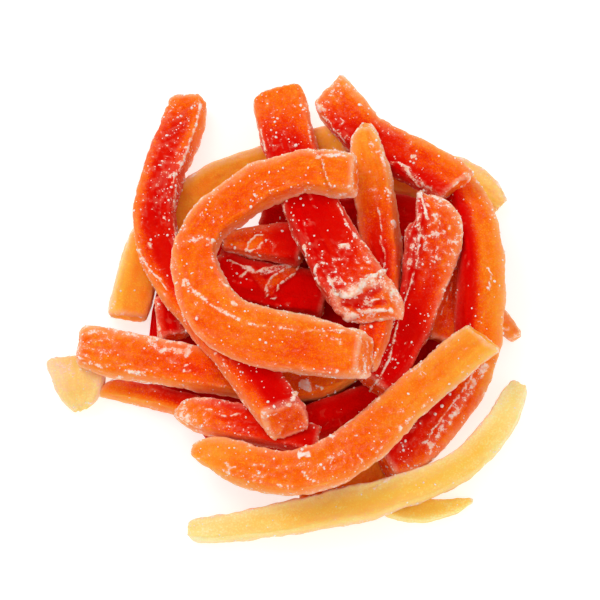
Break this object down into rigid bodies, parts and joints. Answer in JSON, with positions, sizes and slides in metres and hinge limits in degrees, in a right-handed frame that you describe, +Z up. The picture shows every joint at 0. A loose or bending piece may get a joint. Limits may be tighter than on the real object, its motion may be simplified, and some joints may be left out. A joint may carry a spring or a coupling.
{
  "type": "dried papaya",
  "caption": "Heap of candied dried papaya spears lying across one another, with curved, looped and straight pieces, fused into one resting solid.",
  "frame": {"origin": "a point of the heap's flat base, on the table, under the middle of the heap", "axes": "+Z up from the table; +X to the right and +Y to the back, as seen in the picture"},
  "size_m": [0.1189, 0.1177, 0.0333],
  "materials": {
    "candied_papaya": "satin, dusted with sugar"
  },
  "bodies": {
    "root": {"papaya_heap": "candied_papaya"}
  },
  "joints": []
}
